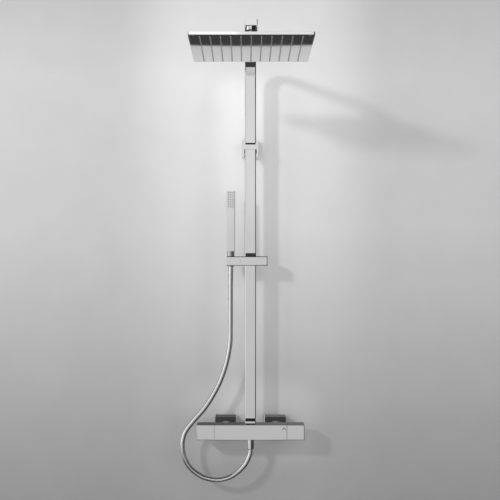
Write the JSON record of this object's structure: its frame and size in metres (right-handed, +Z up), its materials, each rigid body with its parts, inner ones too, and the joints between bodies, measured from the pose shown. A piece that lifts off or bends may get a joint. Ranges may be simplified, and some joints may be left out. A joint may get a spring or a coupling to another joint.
{
  "type": "shower system",
  "caption": "Wall-mounted shower column: square thermostatic bar mixer, flat riser bent into an arm, rectangular rain head, sliding holder, stick handset and hose.",
  "frame": {"origin": "on the wall surface, midway between the two wall inlets, at the height of the mixer's axis", "axes": "+Z up along the riser, +Y into the wall, +X to the user's right when facing the wall"},
  "size_m": [0.357, 0.467, 1.2254],
  "materials": {
    "chrome": "polished chrome plate",
    "brass": "machined brass",
    "steel": "plain steel",
    "black_rubber": "matt black rubber",
    "black_plastic": "matt black plastic",
    "white_plastic": "natural white plastic",
    "grey_plastic": "grey plastic",
    "grey_silicone": "soft grey silicone",
    "hose_metal": "smooth metallic hose jacket"
  },
  "bodies": {
    "root": {"mixer_casing": "chrome", "waterway_core": "brass", "thermostatic_cartridge": "white_plastic", "diverter_cartridge": "white_plastic", "retaining_rings": "brass", "check_valves": "white_plastic", "inlet_washers": "black_rubber", "union_nuts": "chrome", "wall_unions": "chrome", "left_wall_cover": "chrome", "right_wall_cover": "chrome", "cover_seals": "black_rubber", "hose_washer": "black_rubber", "hose_nut": "chrome", "hose": "hose_metal", "riser_socket": "chrome", "riser_gasket": "black_rubber", "lower_riser": "chrome", "riser_coupling": "white_plastic", "coupling_seals": "black_rubber", "joint_collar": "black_rubber", "upper_riser": "chrome", "arm_end_cap": "chrome", "arm_nipple": "brass", "bracket_base": "steel", "bracket_plate": "chrome", "bracket_arm": "chrome", "bracket_liner": "black_plastic", "bracket_grub_screw": "steel", "wall_screws": "steel"},
    "temperature_handle": {"temperature_handle": "chrome", "temperature_hub": "grey_plastic", "temperature_spindle": "brass", "temperature_grub_screw": "steel"},
    "flow_handle": {"flow_handle": "chrome", "flow_hub": "grey_plastic", "flow_spindle": "brass", "flow_grub_screw": "steel"},
    "slider": {"slider_body": "chrome", "slider_bush": "black_plastic", "brake_pad": "black_rubber", "pivot_pin": "steel", "button_spring": "steel"},
    "release_button": {"release_button": "chrome"},
    "holder": {"holder_body": "chrome", "holder_liner": "grey_plastic"},
    "handset": {"handset_shell": "chrome", "handset_core": "white_plastic", "spray_plate": "chrome", "handset_nozzles": "grey_silicone", "cone_nut": "chrome"},
    "swivel": {"swivel_connector": "chrome"},
    "ball_liner": {"ball_liner": "white_plastic"},
    "rain_head": {"head_top": "chrome", "head_gasket": "black_rubber", "head_plate": "chrome", "head_nozzles": "grey_silicone", "head_collar": "chrome", "head_screws": "steel"}
  },
  "joints": [
    {"name": "temperature_turn", "type": "hinge", "parent": "root", "child": "temperature_handle", "pos_m": [0.13, -0.06, 0], "axis": [1, 0, 0], "range_deg": [-140, 60]},
    {"name": "flow_turn", "type": "hinge", "parent": "root", "child": "flow_handle", "pos_m": [-0.13, -0.06, 0], "axis": [1, 0, 0], "range_deg": [-90, 90]},
    {"name": "slider_slide", "type": "slide", "parent": "root", "child": "slider", "axis": [0, 0, 1], "range_m": [-0.3, 0.24], "deforming": ["hose"]},
    {"name": "button_press", "type": "slide", "parent": "slider", "child": "release_button", "axis": [-1, 0, 0], "range_m": [0, 0.003], "stiffness_N_per_m": 600, "springref_m": -0.003, "deforming": ["button_spring"]},
    {"name": "holder_tilt", "type": "hinge", "parent": "slider", "child": "holder", "pos_m": [-0.035, -0.06, 0.4895], "axis": [1, 0, 0], "range_deg": [-10, 30]},
    {"name": "handset_lift", "type": "slide", "parent": "holder", "child": "handset", "axis": [0, 0, 1], "range_m": [0, 0.04]},
    {"name": "head_spin", "type": "hinge", "parent": "root", "child": "swivel", "pos_m": [0, -0.332, 1.04], "axis": [0, 0, 1], "continuous": true},
    {"name": "head_tilt_side", "type": "hinge", "parent": "swivel", "child": "ball_liner", "pos_m": [0, -0.332, 1.04], "axis": [0, 1, 0], "range_deg": [-10, 10]},
    {"name": "head_tilt_front", "type": "hinge", "parent": "ball_liner", "child": "rain_head", "pos_m": [0, -0.332, 1.04], "axis": [1, 0, 0], "range_deg": [-10, 10]}
  ]
}
